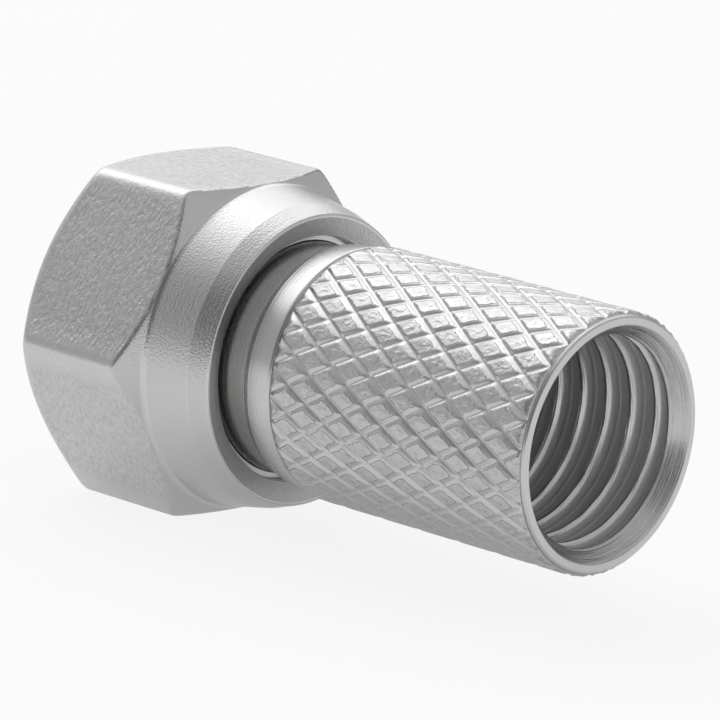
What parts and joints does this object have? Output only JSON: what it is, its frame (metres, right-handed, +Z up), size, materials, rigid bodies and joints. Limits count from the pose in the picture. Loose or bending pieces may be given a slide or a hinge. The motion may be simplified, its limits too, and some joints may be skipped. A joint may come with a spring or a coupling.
{
  "type": "twist-on coaxial f connector plug",
  "caption": "Twist-on coaxial F plug: a loose hexagonal coupling nut crimped round the neck of a diamond-knurled sleeve with a cable thread inside.",
  "frame": {"origin": "centre of the body's front face, the reference plane that seats against the socket, on the connector's axis", "axes": "+X along the connector's axis from the mating end to the cable, +Z up, with one flat of the nut facing down"},
  "size_m": [0.0209, 0.0128, 0.011],
  "materials": {
    "nut_plating": "bright nickel plate, satin on the flats and worn bright along the edges",
    "body_plating": "bright nickel plate over fine turning lines and a diamond knurl"
  },
  "bodies": {
    "body": {"plug_body": "body_plating"},
    "nut": {"coupling_nut": "nut_plating"}
  },
  "joints": [
    {"name": "nut_spin", "type": "hinge", "parent": "body", "child": "nut", "pos_m": [0, 0, 0], "axis": [1, 0, 0], "continuous": true}
  ]
}
